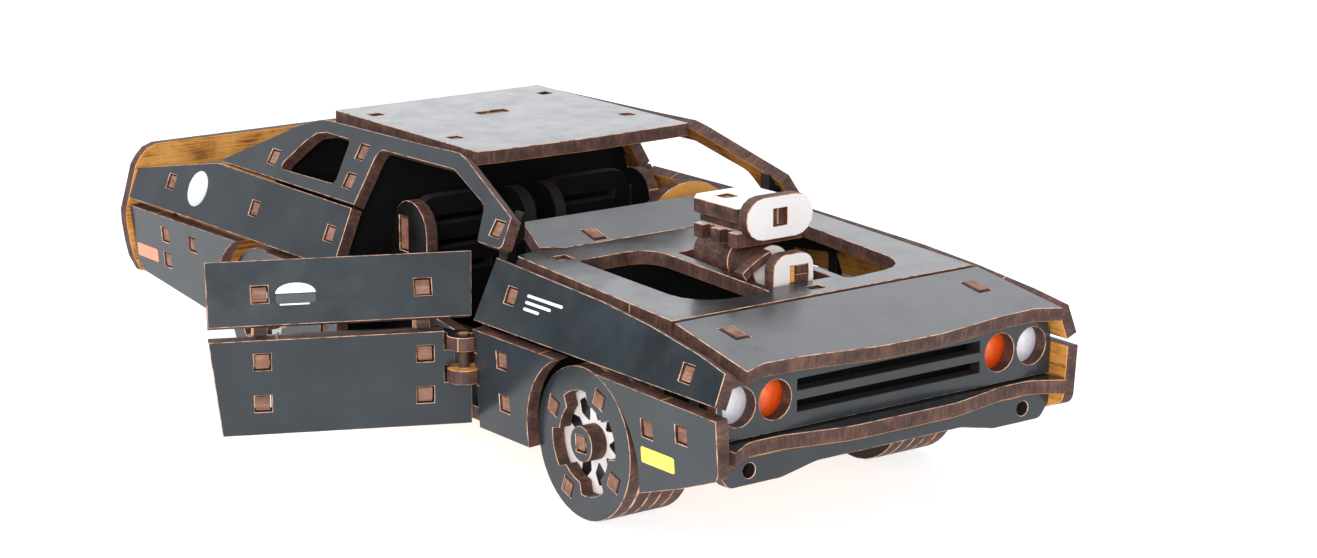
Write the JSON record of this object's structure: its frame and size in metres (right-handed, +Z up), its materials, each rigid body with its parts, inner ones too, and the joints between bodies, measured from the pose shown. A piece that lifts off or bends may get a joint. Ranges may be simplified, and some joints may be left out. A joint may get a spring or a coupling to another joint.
{
  "type": "wooden 3d jigsaw car model",
  "caption": "Slot-together plywood model of a two-door coupe with hinged doors, rolling wheels, a turning steering wheel and an engine through the bonnet.",
  "frame": {"origin": "middle of the floor plate's underside", "axes": "+Y towards the tail along the car, +X towards the car's left side, +Z up"},
  "size_m": [0.1472, 0.2454, 0.0652],
  "materials": {
    "printed_slate": "satin",
    "raw_plywood": "matte",
    "printed_white": "satin",
    "charred_edge": "matte",
    "dowel": "matte"
  },
  "bodies": {
    "car_body": {"front_frame": "printed_slate", "firewall": "printed_slate", "dash_panel": "printed_slate", "seat_bulkhead": "printed_slate", "rear_frame": "printed_slate", "trunk_frame": "printed_slate", "tail_panel": "printed_slate", "grille_panel": "printed_slate", "lamp_board": "printed_slate", "front_bumper": "printed_slate", "front_valance": "printed_slate", "nose_panel": "printed_slate", "hood_panel": "printed_slate", "cowl_panel": "printed_slate", "roof_panel": "printed_slate", "right_front_corner": "printed_slate", "right_lower_fender": "printed_slate", "right_rear_sill": "printed_slate", "right_lower_quarter": "printed_slate", "right_upper_fender": "printed_slate", "right_upper_quarter": "printed_slate", "right_cabin_side": "printed_slate", "right_seat_side": "printed_slate", "right_seat_back": "printed_slate", "right_chassis_rail": "raw_plywood", "right_hinge_bracket": "raw_plywood", "left_front_corner": "printed_slate", "left_lower_fender": "printed_slate", "left_rear_sill": "printed_slate", "left_lower_quarter": "printed_slate", "left_upper_fender": "printed_slate", "left_upper_quarter": "printed_slate", "left_cabin_side": "printed_slate", "left_seat_side": "printed_slate", "left_seat_back": "printed_slate", "left_chassis_rail": "raw_plywood", "left_hinge_bracket": "raw_plywood", "floor_plate": "raw_plywood", "scoop_face": "printed_white", "scoop_top_slab": "printed_white", "scoop_base_slab": "printed_white", "engine_front_plate": "printed_white", "blower_barrel": "charred_edge"},
    "right_door": {"right_door_upper_skin": "printed_slate", "right_door_lower_skin": "printed_slate", "right_door_frame": "raw_plywood"},
    "left_door": {"left_door_upper_skin": "printed_slate", "left_door_lower_skin": "printed_slate", "left_door_frame": "raw_plywood"},
    "front_wheels": {"front_right_rim_ring": "printed_slate", "front_right_tyre_core": "charred_edge", "front_left_rim_ring": "printed_slate", "front_left_tyre_core": "charred_edge", "front_axle": "dowel"},
    "rear_wheels": {"rear_right_rim_ring": "printed_slate", "rear_right_tyre_core": "charred_edge", "rear_left_rim_ring": "printed_slate", "rear_left_tyre_core": "charred_edge", "rear_axle": "dowel"},
    "steering": {"steering_wheel": "printed_slate"}
  },
  "joints": [
    {"name": "right_door_hinge", "type": "hinge", "parent": "car_body", "child": "right_door", "pos_m": [-0.0477, -0.0277, 0.0155], "axis": [0, 0, 1], "range_deg": [-65, 15]},
    {"name": "left_door_hinge", "type": "hinge", "parent": "car_body", "child": "left_door", "pos_m": [0.0477, -0.0277, 0.0155], "axis": [0, 0, -1], "range_deg": [0, 80]},
    {"name": "front_axle_spin", "type": "hinge", "parent": "car_body", "child": "front_wheels", "pos_m": [0, -0.066, 0.0051], "axis": [1, 0, 0], "continuous": true},
    {"name": "rear_axle_spin", "type": "hinge", "parent": "car_body", "child": "rear_wheels", "pos_m": [0, 0.0653, 0.0051], "axis": [1, 0, 0], "continuous": true},
    {"name": "steering_wheel_spin", "type": "hinge", "parent": "car_body", "child": "steering", "pos_m": [0.0228, -0.03, 0.0284], "axis": [0, 1, 0], "continuous": true}
  ]
}
